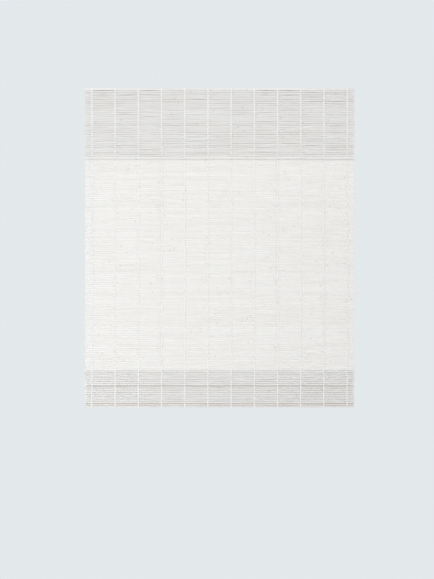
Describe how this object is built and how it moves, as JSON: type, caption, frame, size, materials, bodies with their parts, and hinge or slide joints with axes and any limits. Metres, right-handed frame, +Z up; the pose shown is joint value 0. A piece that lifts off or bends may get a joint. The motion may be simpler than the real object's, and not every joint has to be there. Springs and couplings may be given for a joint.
{
  "type": "flat-fold woven bamboo window blind",
  "caption": "Woven bamboo slat blind with valance, hem batten, back rings, lift cords on pulleys and a cord lock; screws up into a window recess.",
  "frame": {"origin": "middle of the headrail's top face, the face that goes against the top of the recess", "axes": "+X across the blind to its right seen from the room, +Y from the room towards the window, +Z up"},
  "size_m": [0.6, 0.0428, 0.7103],
  "materials": {
    "bamboo_weave": "whitened bamboo slats, matt",
    "warp_thread": "white twisted thread",
    "lift_cord": "white braided cord",
    "headrail_wood": "white painted board",
    "batten_wood": "planed pale wood",
    "ring_plastic": "white moulded",
    "wheel_nylon": "white nylon",
    "fastener_steel": "zinc plated",
    "pin_steel": "bright steel",
    "bracket_steel": "zinc plated sheet",
    "roller_brass": "turned brass",
    "pawl_plastic": "white moulded"
  },
  "bodies": {
    "headrail_and_weave": {"headrail": "headrail_wood", "mat": "bamboo_weave", "valance": "bamboo_weave", "mat_thread_01": "warp_thread", "mat_thread_02": "warp_thread", "mat_thread_03": "warp_thread", "mat_thread_04": "warp_thread", "mat_thread_05": "warp_thread", "mat_thread_06": "warp_thread", "mat_thread_07": "warp_thread", "mat_thread_08": "warp_thread", "mat_thread_09": "warp_thread", "mat_thread_10": "warp_thread", "mat_thread_11": "warp_thread", "mat_thread_12": "warp_thread", "valance_thread_01": "warp_thread", "valance_thread_02": "warp_thread", "valance_thread_03": "warp_thread", "valance_thread_04": "warp_thread", "valance_thread_05": "warp_thread", "valance_thread_06": "warp_thread", "valance_thread_07": "warp_thread", "valance_thread_08": "warp_thread", "valance_thread_09": "warp_thread", "valance_thread_10": "warp_thread", "valance_thread_11": "warp_thread", "valance_thread_12": "warp_thread", "mat_staples": "fastener_steel", "valance_staples": "fastener_steel", "left_lift_cord": "lift_cord", "right_lift_cord": "lift_cord", "left_pulley_bracket": "bracket_steel", "right_pulley_bracket": "bracket_steel", "left_pulley_axle": "pin_steel", "right_pulley_axle": "pin_steel", "headrail_screws": "fastener_steel", "lock_housing": "bracket_steel", "lock_roller_pin": "pin_steel", "lock_pawl_pin": "pin_steel", "left_ring_1": "ring_plastic", "right_ring_1": "ring_plastic", "ring_ties_1": "warp_thread"},
    "hem": {"hem_batten": "batten_wood", "left_ring_4": "ring_plastic", "right_ring_4": "ring_plastic", "ring_ties_4": "warp_thread", "left_end_knot": "lift_cord", "right_end_knot": "lift_cord"},
    "ring_row_2": {"left_ring_2": "ring_plastic", "right_ring_2": "ring_plastic", "ring_ties_2": "warp_thread"},
    "ring_row_3": {"left_ring_3": "ring_plastic", "right_ring_3": "ring_plastic", "ring_ties_3": "warp_thread"},
    "left_wheel": {"left_pulley_wheel": "wheel_nylon"},
    "right_wheel": {"right_pulley_wheel": "wheel_nylon"},
    "passing_wheel": {"passing_cord_wheel": "wheel_nylon"},
    "roller": {"lock_roller": "roller_brass"},
    "pawl": {"lock_pawl": "pawl_plastic"}
  },
  "joints": [
    {"name": "lift", "type": "slide", "parent": "headrail_and_weave", "child": "hem", "axis": [0, 0, 1], "range_m": [0, 0.44], "deforming": ["mat", "mat_thread_01", "mat_thread_02", "mat_thread_03", "mat_thread_04", "mat_thread_05", "mat_thread_06", "mat_thread_07", "mat_thread_08", "mat_thread_09", "mat_thread_10", "mat_thread_11", "mat_thread_12", "left_lift_cord", "right_lift_cord"]},
    {"name": "ring_row_2_rise", "type": "slide", "parent": "headrail_and_weave", "child": "ring_row_2", "axis": [0, 0, 1], "range_m": [0, 0.1502]},
    {"name": "ring_row_3_rise", "type": "slide", "parent": "headrail_and_weave", "child": "ring_row_3", "axis": [0, 0, 1], "range_m": [0, 0.2999]},
    {"name": "left_wheel_spin", "type": "hinge", "parent": "headrail_and_weave", "child": "left_wheel", "pos_m": [-0.1259, -0.01349, -0.0288], "axis": [0, 1, 0], "continuous": true},
    {"name": "right_wheel_spin", "type": "hinge", "parent": "headrail_and_weave", "child": "right_wheel", "pos_m": [0.1321, -0.01349, -0.0288], "axis": [0, 1, 0], "continuous": true},
    {"name": "passing_wheel_spin", "type": "hinge", "parent": "headrail_and_weave", "child": "passing_wheel", "pos_m": [0.1321, -0.00849, -0.0288], "axis": [0, 1, 0], "continuous": true},
    {"name": "roller_spin", "type": "hinge", "parent": "headrail_and_weave", "child": "roller", "pos_m": [0.256, -0.00979, -0.0278], "axis": [0, 1, 0], "continuous": true},
    {"name": "pawl_release", "type": "hinge", "parent": "headrail_and_weave", "child": "pawl", "pos_m": [0.269, -0.00979, -0.033], "axis": [0, 1, 0], "range_deg": [0, 25]}
  ],
  "couplings": [
    {"joint": "ring_row_2_rise", "follows": "lift", "ratio": 0.3402},
    {"joint": "ring_row_3_rise", "follows": "lift", "ratio": 0.6804},
    {"joint": "left_wheel_spin", "follows": "lift", "rad_per_m": 163.93},
    {"joint": "right_wheel_spin", "follows": "lift", "rad_per_m": 163.93},
    {"joint": "passing_wheel_spin", "follows": "lift", "rad_per_m": 163.93},
    {"joint": "roller_spin", "follows": "lift", "rad_per_m": 196.08}
  ]
}
